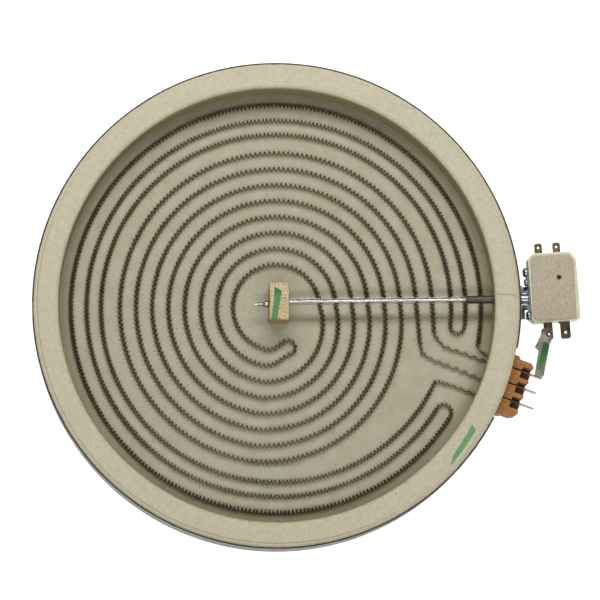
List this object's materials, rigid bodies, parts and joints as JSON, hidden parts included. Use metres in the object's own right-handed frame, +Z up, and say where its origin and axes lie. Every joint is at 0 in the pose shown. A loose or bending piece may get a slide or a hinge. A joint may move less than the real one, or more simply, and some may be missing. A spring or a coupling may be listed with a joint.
{
  "type": "radiant surface element",
  "caption": "Round dual-zone radiant heater for a glass-ceramic hob: steel pan, insulation, corrugated ribbon circuits, tube limiter and terminal block.",
  "frame": {"origin": "middle of the flat underside of the pan", "axes": "+Z up out of the pan towards the glass, -Z out of the underside; +X along the rod towards the limiter"},
  "size_m": [0.3419, 0.3048, 0.035],
  "materials": {
    "pan_steel": "dull grey sheet steel",
    "base_board": "matt pressed microporous board",
    "ring_vermiculite": "matt sandy pressed vermiculite",
    "ribbon": "oxidised resistance ribbon",
    "block_vermiculite": "coarse golden vermiculite",
    "brown_ceramic": "matt orange-brown ceramic",
    "blade_steel": "plated steel",
    "quartz": "clear quartz",
    "rod_steel": "oxidised steel",
    "sleeve": "dark grey matt",
    "zinc": "bright zinc plate",
    "cream_ceramic": "cream steatite",
    "cover_board": "speckled beige board",
    "copper": "heat-tinted copper",
    "tab_metal": "dark brown nickel-plated steel",
    "strap_steel": "dull nickel strip",
    "leaf_metal": "spring alloy",
    "contact_silver": "bright metal"
  },
  "bodies": {
    "heater": {"pan": "pan_steel", "base_insulation": "base_board", "ring_insulation": "ring_vermiculite", "inner_ribbon": "ribbon", "outer_ribbon": "ribbon", "centre_block": "block_vermiculite", "terminal_block": "brown_ceramic", "blade_1": "blade_steel", "blade_2": "blade_steel", "blade_3": "blade_steel", "quartz_tube": "quartz", "expansion_rod": "rod_steel", "end_ferrule": "rod_steel", "tube_sleeve": "sleeve", "guide_bush": "zinc", "limiter_bracket": "zinc", "bracket_screws": "zinc", "bracket_rivet": "zinc", "limiter_body": "cream_ceramic", "limiter_cover": "cover_board", "cover_eyelet": "copper", "signal_tab_a": "tab_metal", "signal_tab_b": "tab_metal", "power_tab_a": "tab_metal", "power_tab_b": "tab_metal", "signal_fixed_contact": "contact_silver", "power_fixed_contact": "contact_silver", "link_strap": "strap_steel", "strap_rivet": "copper", "compression_spring": "contact_silver"},
    "plunger": {"plunger": "cream_ceramic"},
    "signal_switch": {"signal_leaf": "leaf_metal", "signal_moving_contact": "contact_silver"},
    "power_switch": {"power_leaf": "leaf_metal", "power_moving_contact": "contact_silver"}
  },
  "joints": [
    {"name": "plunger_slide", "type": "slide", "parent": "heater", "child": "plunger", "axis": [0.9976, 0.0698, 0], "range_m": [0, 0.001], "deforming": ["compression_spring"]},
    {"name": "signal_leaf_bend", "type": "hinge", "parent": "heater", "child": "signal_switch", "pos_m": [0.16784, 0.02738, 0.028], "axis": [0, 0, 1], "range_deg": [0, 3]},
    {"name": "power_leaf_bend", "type": "hinge", "parent": "heater", "child": "power_switch", "pos_m": [0.17014, -0.00554, 0.024], "axis": [0, 0, -1], "range_deg": [0, 6]}
  ],
  "couplings": [
    {"joint": "signal_leaf_bend", "follows": "plunger_slide", "rad_per_m": 45.455},
    {"joint": "power_leaf_bend", "follows": "plunger_slide", "rad_per_m": 90.909}
  ]
}
